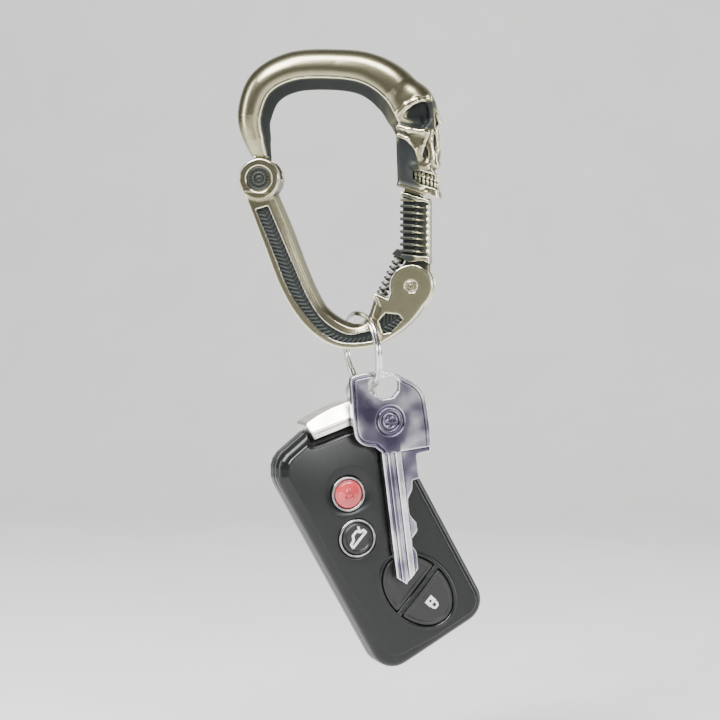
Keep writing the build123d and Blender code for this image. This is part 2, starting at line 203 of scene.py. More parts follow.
def egg(b, centre, radii, turn=0.0, paired=True):
    """An ellipsoid, turned in the XZ plane; paired ones stand on both sides of y = 0."""
    c, s = math.cos(math.radians(turn)), math.sin(math.radians(turn))
    y = abs(b.y) if paired else b.y
    x, z = b.x - centre[0], b.z - centre[2]
    u, v, w = (x * c + z * s) / radii[0], (y - centre[1]) / radii[1], (z * c - x * s) / radii[2]
    return (np.sqrt(u**2 + v**2 + w**2) - 1) * min(radii)


def rod(b, p, q, r0, r1, paired=True):
    """A round bar from p to q that tapers from r0 to r1."""
    y = abs(b.y) if paired else b.y
    e = [q[i] - p[i] for i in range(3)]
    ux, uy, uz = b.x - p[0], y - p[1], b.z - p[2]
    t = unit((ux * e[0] + uy * e[1] + uz * e[2]) / (e[0] ** 2 + e[1] ** 2 + e[2] ** 2))
    d = np.sqrt((ux - t * e[0]) ** 2 + (uy - t * e[1]) ** 2 + (uz - t * e[2]) ** 2)
    return d - (r0 + (r1 - r0) * t)


def softened(solid, reach):
    """How full the space is within reach cells, by running sums."""
    out = solid
    for axis in range(3):
        margin = [(reach + 1, reach) if k == axis else (0, 0) for k in range(3)]
        total = np.cumsum(np.pad(out, margin, "edge"), axis=axis)
        n = out.shape[axis]
        top = np.take(total, range(2 * reach + 1, 2 * reach + 1 + n), axis=axis)
        out = (top - np.take(total, range(0, n), axis=axis)) / (2 * reach + 1)
    return out


def sample(field, points):
    """Values of a field at points given in cells, blended between the cells."""
    top = np.array(field.shape) - 2
    base = np.clip(np.floor(points).astype(int), 0, top)
    f = unit(points - base)
    out = 0.0
    for i in (0, 1):
        for j in (0, 1):
            for k in (0, 1):
                w = abs(1 - i - f[:, 0]) * abs(1 - j - f[:, 1]) * abs(1 - k - f[:, 2])
                out = out + w * field[base[:, 0] + i, base[:, 1] + j, base[:, 2] + k]
    return out


def placed(name, data):
    item = bpy.data.objects.new(name, data)
    bpy.context.scene.collection.objects.link(item)
    return item


def skin(b, d, name, place=None, darkening_and_painted_light=None):
    """The surface of a field as a mesh. Stored on it: how hollow each point lies, and how far it is
    darkened, as patina and tone on some pieces and as painted shade and painted reflection on others.
    """
    d = b.filled(d)
    grid = openvdb.FloatGrid(4 * b.step)
    grid.copyFromArray(np.clip(d, -3 * b.step, 3 * b.step))
    points, quads = grid.convertToQuads(0.0)
    solid = unit(0.5 - d / b.step).astype(np.float32)
    fine = sample(softened(solid, max(1, round(0.35 / b.step))), points) - 0.5
    broad = np.maximum(sample(softened(solid, max(2, round(1.1 / b.step))), points) - 0.5, -0.1)
    dark = np.zeros(len(points)) if darkening_and_painted_light is None else sample(b.filled(darkening_and_painted_light), points)
    mesh = bpy.data.meshes.new(name)
    mesh.from_pydata(b.low + points * b.step, [], quads[:, ::-1])
    mesh.transform(Matrix.Diagonal((MM, MM, MM, 1)))
    if place is not None:
        mesh.transform(place)
    mesh.shade_smooth()
    for label, values in (("hollow_fine", fine), ("hollow_broad", broad), ("darkening_and_painted_light", dark)):
        mesh.attributes.new(label, "FLOAT", "POINT").data.foreach_set("value", values.astype(np.float32))
    return placed(name, mesh)


def stand_in(piece, body, material, *nodes, slot=None):
    """Puts a finished piece in place of its CAD nodes."""
    piece.data.materials.append(material)
    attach(piece, body)
    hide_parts(*nodes)
    return piece


# ---- materials
class Shader:
    """A procedural material with one Principled surface."""

    def __init__(self, name, **sockets):
        self.material = bpy.data.materials.new(name)
        self.material.use_nodes = True
        self.tree = self.material.node_tree
        self.surface = self.tree.nodes["Principled BSDF"]
        self.place = self.tree.nodes.new("ShaderNodeTexCoord").outputs["Object"]
        for socket, value in sockets.items():
            self.surface.inputs[socket.replace("_", " ")].default_value = value

    def link(self, source, target):
        self.tree.links.new(source, target)

    def attribute(self, name):
        node = self.tree.nodes.new("ShaderNodeAttribute")
        node.attribute_name = name
        return node.outputs["Fac"]

    def noise(self, size_mm, detail=4.0, stretch=(1, 1, 1), rough=0.55):
        scale = self.tree.nodes.new("ShaderNodeMapping")
        scale.inputs["Scale"].default_value = stretch
        self.link(self.place, scale.inputs["Vector"])
        node = self.tree.nodes.new("ShaderNodeTexNoise")
        node.inputs["Scale"].default_value = 1000.0 / size_mm
        node.inputs["Detail"].default_value = detail
        node.inputs["Roughness"].default_value = rough
        self.link(scale.outputs["Vector"], node.inputs["Vector"])
        return node.outputs["Fac"]

    def ramp(self, source, *stops):
        """Colours or greys by value: stops are (place, grey) or (place, (r, g, b))."""
        node = self.tree.nodes.new("ShaderNodeValToRGB")
        while len(node.color_ramp.elements) < len(stops):
            node.color_ramp.elements.new(0.5)
        for element, (position, tone) in zip(node.color_ramp.elements, stops):
            element.position = position
            element.color = (*tone, 1) if isinstance(tone, tuple) else (tone, tone, tone, 1)
        self.link(source, node.inputs["Fac"])
        return node.outputs["Color"]

    def sum(self, a, b, weight=1.0, base=0.0):
        """a * weight + b + base, where b is a socket or left out."""
        node = self.tree.nodes.new("ShaderNodeMath")
        node.operation = "MULTIPLY_ADD"
        self.link(a, node.inputs[0])
        node.inputs[1].default_value = weight
        node.inputs[2].default_value = base
        if b is not None:
            self.link(b, node.inputs[2])
        return node.outputs["Value"]

    def bump(self, height, depth_mm, strength=1.0):
        node = self.tree.nodes.new("ShaderNodeBump")
        node.inputs["Distance"].default_value = depth_mm * MM
        node.inputs["Strength"].default_value = strength
        self.link(height, node.inputs["Height"])
        self.link(node.outputs["Normal"], self.surface.inputs["Normal"])

    def paint(self, colour=None, rough=None, metal=None):
        for source, socket in ((colour, "Base Color"), (rough, "Roughness"), (metal, "Metallic")):
            if source is not None:
                self.link(source, self.surface.inputs[socket])


def antique_brass(name):
    """Cast brass, lacquered dark and rubbed back: pale on edges, black in the hollows."""
    s = Shader(name, Metallic=1.0)
    cloud = s.noise(6.0)
    grit = s.noise(0.5, detail=6)
    hollow = s.sum(s.attribute("hollow_fine"), s.sum(s.attribute("hollow_broad"), None, 0.9), 1.2)
    # The darkening attribute adds patina and tone on some pieces, and painted shade on the arm's inner
    # bevel, the side of the jaw, the gate and the frame's sides.
    level = s.sum(hollow, s.sum(s.attribute("darkening_and_painted_light"), None, 0.62, 0.25), 1.25)
    level = s.sum(cloud, level, 0.16)
    level = s.sum(grit, level, 0.08)
    colour = s.ramp(
        level, (0.05, (0.86, 0.82, 0.63)), (0.23, (0.44, 0.405, 0.265)), (0.40, (0.235, 0.22, 0.138)),
        (0.68, (0.045, 0.049, 0.038)), (1.0, (0.010, 0.013, 0.013)),
    )
    s.paint(
        colour,
        s.ramp(level, (0.05, 0.17), (0.35, 0.25), (0.7, 0.42), (1.0, 0.60)),
        s.ramp(level, (0.55, 1.0), (1.0, 0.5)),
    )
    s.bump(s.sum(grit, s.noise(0.18, detail=2), 0.7), 0.02, 0.4)
    return s.material


def plated(name, tint, dark, rough, grain_mm=6.0):
    """Bright plated metal with fine scratches and a slight tarnish."""
    s = Shader(name, Metallic=1.0)
    tarnish = s.ramp(s.noise(grain_mm, detail=5), (0.35, dark), (0.62, tint))
    scratches = s.noise(0.25, detail=3, stretch=(6, 6, 0.5))
    s.paint(tarnish, s.ramp(scratches, (0.3, rough), (0.8, rough + 0.14)))
    s.bump(scratches, 0.006, 0.5)
    return s.material


def nickel_painted_reflections(name):
    """Nickel plate with painted reflections: dark violet painted on the flats and a painted highlight on
    every edge.
    """
    s = Shader(name, Metallic=1.0)
    reflection_patches = s.noise(9.0, detail=2, rough=0.4)
    scratches = s.noise(0.3, detail=3, stretch=(5, 5, 0.4))
    # Painted reflection: large patches and the darkening attribute make the flats dark violet, and the
    # hollow attribute paints every edge bright as a highlight.
    painted_reflection_tone = s.sum(s.attribute("darkening_and_painted_light"), s.sum(reflection_patches, None, 1.4, -0.06), -0.30)
    level = s.sum(s.attribute("hollow_fine"), painted_reflection_tone, -2.2)
    level = s.sum(scratches, level, 0.12)
    s.paint(
        s.ramp(
            level, (0.22, (0.06, 0.05, 0.085)), (0.45, (0.16, 0.145, 0.20)),
            (0.68, (0.50, 0.48, 0.54)), (0.92, (0.90, 0.89, 0.90)),
        ),
        s.ramp(scratches, (0.3, 0.12), (0.8, 0.30)),
    )
    s.bump(scratches, 0.006, 0.5)
    return s.material


def moulded(name, tone, rough, grain_mm=0.22, depth=0.008, dust=0.008, **sockets):
    """Moulded plastic with a fine spark-eroded grain, scuffs and a little dust."""
    s = Shader(name, IOR=1.5, **sockets)
    grain = s.noise(grain_mm, detail=2)
    scuff = s.noise(1.6, detail=8, rough=0.7)
    lighter = tuple(min(1.0, c + dust) for c in tone)
    s.paint(
        s.ramp(scuff, (0.5, tone), (0.8, lighter)),
        s.ramp(scuff, (0.3, rough), (0.8, min(0.9, rough + 0.05))),
    )
    s.bump(grain, depth, 0.6)
    return s.material


brass_hook = antique_brass("antique_brass")
brass_pin = antique_brass("brass_pin")
wire_steel = plated("spring_wire", (0.20, 0.20, 0.185), (0.07, 0.072, 0.065), 0.28, 1.2)
blade_nickel = plated("blade_nickel", (0.80, 0.79, 0.82), (0.36, 0.33, 0.40), 0.10)
nickel = nickel_painted_reflections("key_nickel_with_painted_reflections")
ring_nickel = plated("ring_nickel", (0.88, 0.87, 0.86), (0.62, 0.60, 0.58), 0.12, 3.0)
chrome_cap = plated("satin_chrome", (0.86, 0.83, 0.76), (0.60, 0.57, 0.51), 0.20)
black_shell = moulded("black_shell", (0.006, 0.007, 0.007), 0.24, dust=0.004, Specular_IOR_Level=0.36)
button_black = moulded("button_black", (0.007, 0.0075, 0.0075), 0.34, depth=0.006, dust=0.004)
panic_face = moulded(
    "panic_face", (0.50, 0.045, 0.055), 0.16, depth=0.001, dust=0.03, Coat_Weight=0.8,
)
sign_red = moulded("sign_red", (0.34, 0.01, 0.015), 0.35)
bezel_metal = plated("smoked_chrome", (0.40, 0.40, 0.39), (0.22, 0.22, 0.22), 0.16, 2.0)
icon_white = moulded("icon_white", (0.80, 0.80, 0.78), 0.5, dust=0.05)


# ---- carabiner castings
hinge = [v / MM for v in joints["gate_hinge"]["pos_m"]]
boss = [(lo + hi) / 2 / MM for lo, hi in zip(*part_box("knuckle_rivet"))]
boss_r, boss_recess_r = 6.1, 3.8
pivot_r = 6.4
frame_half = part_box("lower_frame")[1].y / MM
arm_line = [
    (-23.2, -19.2), (-24.6, -14.4), (-25.6, -7.2), (-22.2, 1.2), (-13.6, 5.6), (-1.0, 6.0),
    (8.2, 4.4), (15.6, -0.4), (19.6, -7.4), (21.2, -13.6),
]
arm_width = (5.4, 8.0, 10.2, 11.6, 11.9, 11.9, 12.6, 13.7, 12.4, 9.2)
jaw_back, jaw_front = (17.4, -28.1), (29.3, -31.8)
jaw_slope = (jaw_front[1] - jaw_back[1]) / (jaw_front[0] - jaw_back[0])


def arm(b):
    """The smooth arm: full and round outside, with a beaded ridge and a bevel inside. It also returns a
    mask of that bevel, which is painted dark as shade.
    """
    line = curve(arm_line, 10)
    d, place, side = nearest(b, line)
    lengths = np.concatenate([[0], np.cumsum(np.hypot(*np.diff(line, axis=0).T))])
    width = np.interp(place, lengths[::10], arm_width).astype(np.float32)
    across = d * side
    half = width / 2
    deep = half * 0.93
    body = (np.sqrt((d / half) ** 2 + (b.y / deep) ** 2) - 1) * half * 0.9
    ridge = 0.21 * width
    crest = deep * 0.88
    bevel = (abs(b.y) - crest + 0.15 + (across - ridge) * 1.3) * 0.61
    bead = np.hypot(across - ridge - 0.05, abs(b.y) - crest) - 0.34
    shape = join(meet(body, bevel, 0.2), bead, 0.2)
    return shape, unit((across - ridge - 0.35) / 0.5)


def bars(b, d, soft, *runs):
    """Round bars through points, each point given with its radius."""
    for run in runs:
        for (p, r0), (q, r1) in zip(run[:-1], run[1:]):
            d = join(d, rod(b, p, q, r0, r1), soft)
    return d


def skull(b, d):
    """Generic skull anatomy on both sides of the middle plane, facing +x."""
    d = join(d, egg(b, (20.6, 0, -4.2), (6.3, 6.2, 6.6), -30, False), 1.6)
    d = join(d, egg(b, (22.9, 0, -5.6), (4.9, 5.8, 5.2), 0, False), 1.4)
    # Jaw and upper jaw as blocks, narrower in front
    ramus = outline(b, [
        (16.5, -12.5), (25.5, -12.5), (26.6, -22.0), (28.4, -26.0), (29.3, -32.4), (17.0, -28.4),
    ])
    d = join(d, slab(b, ramus, 4.2, 1.0), 0.7)
    jaw = outline(b, [(21.6, -8.5), (27.2, -9.0), (28.5, -12.0), (28.6, -22.5), (22.4, -23.4)])
    d = join(d, slab(b, jaw, 3.8, 1.5), 0.5)
    d = cut(d, egg(b, (20.0, 8.0, -20.6), (3.0, 4.4, 6.6), 4), 0.8)
    # Cheekbone, whose lower point runs down to the teeth
    cheek = outline(b, [
        (16.8, -10.8), (20.6, -11.9), (26.4, -11.4), (25.4, -15.4), (23.4, -20.2), (22.4, -17.4),
        (20.0, -14.5), (16.8, -13.5),
    ])
    d = join(d, slab(b, cheek + 0.2, 5.0, 0.8), 0.5)
    # Sockets: narrow behind, wide in front
    d = cut(d, rod(b, (19.6, 6.9, -8.2), (24.2, 6.6, -7.3), 1.5, 3.95), 0.3)
    d = cut(d, egg(b, (25.3, 4.9, -7.9), (2.0, 2.9, 3.0), 0), 0.3)
    # Nasal bones, their opening and its septum
    d = join(d, rod(b, (26.2, 0.9, -4.6), (28.9, 0.7, -9.6), 1.3, 0.85), 0.9)
    d = cut(d, egg(b, (29.0, 1.0, -14.4), (1.9, 0.95, 3.8), -4), 0.3)
    d = cut(d, egg(b, (27.7, 3.3, -15.6), (0.8, 1.0, 3.0), 6), 0.5)
    # Fossae under the cheek, behind the arch and beside the nose
    d = cut(d, egg(b, (19.6, 5.8, -17.6), (2.6, 1.9, 2.4), 0), 0.6)
    d = cut(d, egg(b, (25.3, 4.8, -18.6), (1.1, 1.6, 2.6), 14), 0.5)
    # Ridges: brow, side of the nose, cheekbone, upper jaw, nostril, gum and chin
    brow = [((17.2, 5.4, -7.4), 0.6), ((20.0, 5.8, -5.0), 0.75), ((22.6, 5.5, -3.6), 0.8)]
    cheekbone = [((17.4, 5.0, -11.0), 0.8), ((20.6, 5.3, -12.0), 0.8), ((24.5, 4.8, -12.6), 0.9)]
    gum = [((21.4, 3.5, -22.0), 0.8), ((25.4, 3.1, -22.2), 0.9), ((27.8, 1.8, -21.8), 0.9)]
    chin = [((17.8, 3.8, -27.6), 0.9), ((24.4, 3.7, -29.5), 0.9), ((28.2, 1.8, -30.6), 0.95)]
    d = bars(
        b, d, 0.8,
        brow + [((26.0, 3.7, -2.7), 0.85)],
        [((26.0, 3.5, -2.7), 0.85), ((26.8, 2.8, -6.4), 0.8), ((27.0, 2.5, -9.4), 0.9)],
        cheekbone + [((26.8, 3.0, -10.2), 0.8)],
        [((26.9, 2.9, -9.6), 0.8), ((26.4, 3.3, -14.4), 0.7), ((27.0, 2.9, -20.4), 0.85)],
        [((28.2, 1.7, -11.4), 0.55), ((28.2, 1.9, -17.6), 0.6), ((28.5, 0.5, -19.6), 0.6)],
        gum + [((28.4, 0.0, -21.6), 0.8)],
        chin + [((28.6, 0.0, -30.8), 0.95)],
    )
    # The two edges of the cheek that run down to the teeth
    behind = [((17.3, 4.8, -13.4), 0.6), ((20.0, 5.0, -14.4), 0.6), ((22.4, 4.6, -17.3), 0.55)]
    d = bars(
        b, d, 0.45,
        behind + [((23.3, 4.0, -20.4), 0.45)],
        [((25.8, 4.5, -12.9), 0.8), ((24.6, 4.4, -16.2), 0.55), ((23.6, 4.0, -20.2), 0.45)],
    )
    # Mouth: a narrow gap with two rows of teeth that follow the arch of the jaw
    bite = b.z + 25.0 - jaw_slope * (b.x - 22.0)
    opening = 1.9 - 0.9 * unit((23.6 - b.x) / 2.2)
    inside = 3.0 - abs(b.y) - 3.6 * unit((b.x - 25.8) / 3)
    mouth = within(abs(bite) - opening, 21.6 - b.x, inside)
    d = np.where(b.x > 20.5, cut(d, mouth, 0.4), d)
    arch = curve([
        (22.4, 3.55), (23.5, 3.5), (24.6, 3.35), (25.7, 3.0), (26.7, 2.5), (27.6, 1.8), (28.2, 1.1),
        (28.5, 0.4),
    ], 1)
    for n, (x, y) in enumerate(arch):
        size = 0.60 - 0.02 * n
        middle = -25.0 + jaw_slope * (x - 22.0)
        upper = rod(b, (x, y, middle + 0.5), (x - 0.1, y * 0.95, middle + 2.2), size, size * 0.8)
        crown, root = (x, y * 0.97, middle - 0.55), (x - 0.05, y * 0.92, middle - 2.2)
        lower = rod(b, crown, root, size * 0.92, size * 0.75)
        d = join(join(d, upper, 0.1), lower, 0.1)
    return d


def make_hook():
    b = Block((-32.0, -7.0, -32.6), (31.0, 7.0, 13.0), 0.2)
    d, band = arm(b)
    d = b.filled(d)
    head, at = b.part((11.0, -7.0, -32.6), (31.0, 7.0, 5.0))
    d[at] = skull(head, d[at])
    # The jaw ends on one clean slanted edge
    below = (jaw_back[1] + jaw_slope * (b.x - jaw_back[0]) - b.z) * 0.95
    d = np.where(b.x > 10, meet(d, below, 0.15), d)
    nose = within(abs(b.y) - 2.05, 14.0 - b.x, b.x - 24.3, b.z + 24.8)
    d = np.where(b.z < -22, cut(d, nose, 0.1), d)
    # Narrow neck into the knuckle, clear of the boss
    neck = within(abs(b.x + 23.3) - 2.3, b.z + 19.0, -25.7 - b.z)
    neck = join(neck, round_at(b, boss[0], boss[2], 3.8))
    d = join(d, slab(b, neck, 2.5, 0.2), 0.2)
    ball = round_at(b, boss[0], boss[2], boss_r + 0.45)
    d = cut(d, np.maximum(ball, 2.5 - abs(b.y)), 0.15)
    d = cut(d, round_at(b, boss[0], boss[2], 2.0))
    # Painted shade on the bevel inside the arm (less on the skull) and on the side of the jaw, most at its
    # top under the cheekbone; the eye sockets are darkened too
    face = b.filled(unit((b.x - 10.0) / 4))
    jaw_side_shade = unit((-14.6 - b.z) / 1.5) * unit((24.0 - b.x) / 3)
    jaw_side_shade = jaw_side_shade * unit((4.9 - abs(b.y)) / 0.5)
    jaw_side_shade = jaw_side_shade * (0.6 + 0.5 * unit((b.z + 24) / 8))
    socket = np.maximum(abs(b.x - 23.0) / 4.6, abs(b.z + 7.6) / 4.0)
    socket = 1.3 * unit((1.1 - socket) / 0.3) * unit((5.3 - abs(b.y)) / 0.5)
    darkening_and_painted_light = band * (1 - 0.6 * face) + face * np.maximum(jaw_side_shade, socket)
    return skin(b, d, "skull_hook_casting", darkening_and_painted_light=darkening_and_painted_light)


frame_outer = [
    (-28.3, -29.4), (-26.5, -33.8), (-22.0, -45.6), (-17.4, -57.4), (-12.2, -66.2), (-5.9, -72.2),
    (0.8, -75.0), (9.2, -74.6), (15.4, -71.7), (21.4, -67.0), (26.4, -60.4),
]
frame_inner = [
    (9.6, -61.8), (7.6, -66.5), (3.3, -67.8), (-3.3, -63.9), (-7.0, -58.3), (-10.6, -50.0),
    (-14.2, -40.5), (-18.6, -30.2),
]
clevis_side = [(26.4, -60.4), (21.1, -57.0), (15.6, -57.2), (14.3, -60.6), (10.2, -58.8), (9.6, -61.8)]
panel_outer = [
    (-24.5, -34.6), (-20.0, -45.3), (-15.2, -57.2), (-10.3, -64.7), (-4.8, -70.6), (1.0, -73.3),
    (8.2, -73.1), (12.2, -72.0),
]
panel_inner = [
    (10.6, -69.3), (6.6, -70.4), (2.0, -70.8), (-4.4, -67.1), (-9.2, -60.4), (-14.1, -49.4), (-20.9, -33.6),
]
pocket_edge = [(11.6, -67.0), (13.6, -64.7), (17.4, -65.1), (18.7, -66.6), (15.1, -70.4), (12.9, -70.7)]


def marks(b, line, pitch, lean):
    """Cut chevrons that repeat along a line, from 0 in the cuts to 1 on the ridges."""
    d, place = nearest(b, line)[:2]
    phase = (place + lean * d) / pitch
    wave = 0.5 + 0.5 * np.cos(2 * math.pi * phase)
    centre_cut = unit(d / 0.35)
    return unit(wave * 1.8 - 0.4) * centre_cut


def make_frame():
    b = Block((-31.0, -5.0, -76.0), (29.0, 5.0, -18.5), 0.2)
    edge = np.vstack([curve(frame_outer, 8), clevis_side[1:-1], curve(frame_inner, 8)])
    flat = join(outline(b, edge), round_at(b, hinge[0], hinge[2], pivot_r), 0.3)
    d = slab(b, flat, frame_half, 0.45)
    # Two facets down to the inner edge
    inner = nearest(b, curve(frame_inner, 8))[0]
    shallow = (abs(b.y) - frame_half + 0.36 * (3.0 - inner)) * 0.94
    steep = (abs(b.y) - frame_half + 2.0 * (1.5 - inner)) * 0.45
    leg = round_at(b, hinge[0], hinge[2], pivot_r + 4.2)
    faceted = meet(meet(d, shallow, 0.15), steep, 0.2)
    d = np.where(leg > 0, faceted, d)
    # Knuckle boss
    disc = round_at(b, boss[0], boss[2], boss_r)
    d = join(d, slab(b, disc, frame_half, 0.7), 0.9)
    recess = round_at(b, boss[0], boss[2], boss_recess_r)
    d = cut(d, np.maximum(recess, frame_half - 0.85 - abs(b.y)), 0.15)
    slot = join(round_at(b, boss[0], boss[2], 4.05), np.maximum(abs(b.x + 23.5) - 7.0, boss[2] - b.z))
    d = cut(d, np.maximum(slot, abs(b.y) - 2.5), 0.1)
    # Sunk panels with cut marks left standing in them
    line = curve([
        (-22.7, -34.3), (-17.1, -46.0), (-12.3, -57.5), (-7.2, -65.0), (-2.2, -70.2), (4.0, -72.0),
        (11.6, -70.7),
    ], 10)
    panel = outline(b, np.vstack([curve(panel_outer, 8), curve(panel_inner, 8)]))
    relief = 0.85 - 0.26 * marks(b, line, 1.3, 0.75)
    d = cut(d, np.maximum(panel, frame_half - relief - abs(b.y)), 0.12)
    pocket = outline(b, pocket_edge)
    weave = marks(b, curve([(12.0, -69.4), (18.2, -65.4)], 4), 1.3, -0.7)
    d = cut(d, np.maximum(pocket, frame_half - 0.7 + 0.4 * weave - abs(b.y)), 0.12)
    # Clevis slot and pin seat
    slot = within(abs(b.y) - 2.45, 14.6 - b.x, -63.4 - b.z)
    d = cut(d, slot, 0.1)
    d = cut(d, np.maximum(round_at(b, hinge[0], hinge[2], 1.78), frame_half - 0.5 - abs(b.y)), 0.05)
    # The sunk panels and pocket are darkened; painted shade darkens the frame's sides and steep facets away
    # from the pivot.
    sunk = unit((abs(b.y) - frame_half + 1.1) / 0.1)
    darkening_and_painted_light = sunk * unit(-join(panel, pocket) / 0.3 - 0.2) * 1.1
    under = unit((abs(b.y) - frame_half + 0.35) / -0.5) * 0.25
    return skin(b, d, "lower_frame_casting", darkening_and_painted_light=np.maximum(darkening_and_painted_light, under * (leg > 0)))


def make_gate():
    """The gate as a spine: stacked vertebrae with side processes and a beaded front edge."""
    b = Block((13.5, -4.8, -62.8), (28.0, 4.8, -24.8), 0.17)
    core = outline(b, [
        (18.4, -30.2), (25.6, -32.2), (25.8, -49.0), (24.2, -49.2), (19.8, -48.8), (18.4, -47.0),
    ])
    d = b.filled(slab(b, core, 2.9, 0.8))
    pitch, count = 1.84, 10
    for n in range(count):
        z = -32.1 - n * pitch
        sub, at = b.part((15.5, -4.8, z - 1.7), (27.6, 4.8, z + 1.9))
        piece = d[at]
        piece = join(piece, egg(sub, (23.1, 0, z - 0.1), (2.3, 4.1, 0.80), -6, False), 0.2)
        piece = join(piece, rod(sub, (21.4, 2.9, z), (18.1, 3.3, z + 0.25), 0.62, 0.5), 0.2)
        piece = join(piece, rod(sub, (25.75, 0.9, z - 0.1), (25.75, 2.6, z - 0.1), 0.78, 0.7), 0.15)
        piece = cut(piece, rod(sub, (21.6, 3.0, z - pitch / 2), (18.0, 3.4, z - pitch / 2), 0.5, 0.62), 0.2)
        d[at] = piece
    edge = within(abs(b.x - 25.9) - 0.45, b.z + 31.8, -49.6 - b.z)
    d = join(d, slab(b, edge, 2.9, 0.4), 0.25)
    lid = outline(b, [(17.9, -29.5), (26.2, -32.1), (26.2, -33.0), (17.9, -30.8)])
    d = join(d, slab(b, lid, 3.9, 0.3), 0.3)
    foot = outline(b, [
        (17.9, -47.4), (26.3, -48.4), (26.4, -50.6), (24.6, -49.6), (20.2, -50.0), (18.6, -49.0),
    ])
    d = join(d, slab(b, foot, 3.9, 0.4), 0.4)
    d = cut(d, np.maximum(round_at(b, hinge[0], hinge[2], pivot_r + 0.5), 2.3 - abs(b.y)), 0.1)
    nose = outline(b, [(18.6, -31.5), (18.6, -25.9), (24.0, -25.4), (24.0, -33.0)])
    d = join(d, slab(b, nose, 1.9, 0.3), 0.3)
    tongue = outline(b, [
        (18.0, -47.0), (26.0, -48.0), (26.0, -57.0), (15.9, -57.0), (17.9, -51.5), (19.3, -49.6),
        (15.1, -47.6), (16.6, -46.0),
    ])
    tongue = join(tongue, round_at(b, hinge[0], hinge[2], 5.2))
    d = join(d, slab(b, tongue, 2.3, 0.2), 0.1)
    d = cut(d, round_at(b, hinge[0], hinge[2], 1.45))
    # Painted shade: the gate is darkened except along its right edge, lightly in the middle, most on its
    # left side and below z = -50.
    darkening_and_painted_light = 0.35 * unit((25.5 - b.x) / 0.4) * (b.z < -32.4) * (b.z > -49.6)
    darkening_and_painted_light = darkening_and_painted_light + 0.75 * unit((22.4 - b.x) / 1.5) * (b.z < -30.5) + 0.5 * (b.z < -50)
    return skin(b, d, "spine_gate_casting", darkening_and_painted_light=darkening_and_painted_light)


def make_boss_disc(side):
    """Inlay of the knuckle: turned rings round a fluted centre."""
    b = Block((boss[0] - 4.2, -0.2, boss[2] - 4.2), (boss[0] + 4.2, 1.2, boss[2] + 4.2), 0.09)
    r = np.hypot(b.x - boss[0], b.z - boss[2])
    turn = np.arctan2(b.z - boss[2], b.x - boss[0])
    face = 0.34 + 0.16 * np.cos(r * 5.2) - 0.14 * (np.cos(turn * 18) > 0.2) * ((r > 1.5) & (r < 2.9))
    face = np.where(r > 3.05, 0.12 + 0.9 * np.clip(r - 3.35, 0, 0.35), face)
    d = within(r - 3.7, b.y - 0.8, (face - b.y) * 0.6)
    flip = Matrix.Translation((0, side * frame_half * MM, 0)) @ Matrix.Diagonal((1, -side, 1, 1))
    name = "boss_inlay_front" if side < 0 else "boss_inlay_rear"
    piece = skin(b, d, name, flip, unit((3.6 - r) / 0.15) * 1.05)
    if side > 0:
        piece.data.flip_normals()
    return piece


castings = (
    (make_hook, (), "carabiner", "skull_hook"), (make_frame, (), "carabiner", "lower_frame"),
    (make_gate, (), "gate", "spine_gate"),
    (make_boss_disc, (-1,), "carabiner", "boss_disc_front"),
    (make_boss_disc, (1,), "carabiner", "boss_disc_rear"),
)
for make, values, body, node in castings:
    stand_in(make(*values), body, brass_hook, node, slot="antique_brass")


# ---- swept metal
def swept(name, path, normals, section):
    """A wire: an outline of (out, up) points carried along a path. Millimetres in, metres out."""
    verts, faces = [], []
    count, around = len(path), len(section)
    for i, (p, out) in enumerate(zip(path, normals)):
        ahead = (path[min(i + 1, count - 1)] - path[max(i - 1, 0)]).normalized()
        out = (out - ahead * out.dot(ahead)).normalized()
        up = ahead.cross(out)
        verts += [(p + out * u + up * v) * MM for u, v in section]
    for i in range(count - 1):
        for k in range(around):
            a, c = i * around + k, i * around + (k + 1) % around
            faces.append((a, c, c + around, a + around))
    faces.append(tuple(reversed(range(around))))
    faces.append(tuple(range((count - 1) * around, count * around)))
    mesh = bpy.data.meshes.new(name)
    mesh.from_pydata(verts, [], faces)
    mesh.shade_smooth()
    mesh.set_sharp_from_angle(angle=math.radians(50))
    return placed(name, mesh)


def rounded_bar(half_u, half_v, r, per=4):
    """A rounded rectangle as a section."""
    points = []
    for n, (su, sv) in enumerate(((1, 1), (-1, 1), (-1, -1), (1, -1))):
        for k in range(per + 1):
            t = math.radians(90 * (n + k / per))
            points.append((su * (half_u - r) + r * math.cos(t), sv * (half_v - r) + r * math.sin(t)))
    return points


def make_ring():
    """Two turns of flat wire; the step from one layer to the other lies behind the bar."""
    inner, outer, thick = 10.6, 12.0, 1.9
    axis = joints["ring_swing"]["axis"]
    lean, yaw = math.radians(8.0), math.atan2(axis[1], axis[0])
    low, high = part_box("split_ring")
    place = (
        Matrix.Translation((low + high) / 2) @ Matrix.Rotation(-lean, 4, "Y") @ Matrix.Rotation(yaw, 4, "Z")
        @ Matrix.Rotation(math.pi / 2, 4, "Y")
    )
    step_at, step_half, gap = math.radians(200), 0.38, 0.50
    path, normals = [], []
    first, last, count = gap, 4 * math.pi - gap, 320
    for i in range(count + 1):
        t = first + (last - first) * i / count
        s = min(1.0, max(0.0, (t - 2 * math.pi + step_half) / (2 * step_half)))
        lift = (s * s * (3 - 2 * s) - 0.5) * thick / 2
        out = Vector((math.cos(t + step_at), math.sin(t + step_at), 0))
        path.append(out * (inner + outer) / 2 + Vector((0, 0, lift)))
        normals.append(out)
    section = rounded_bar((outer - inner) / 2, thick / 4 - 0.02, 0.3)
    piece = swept("split_ring_wire", path, normals, section)
    piece.data.transform(place)
    return piece


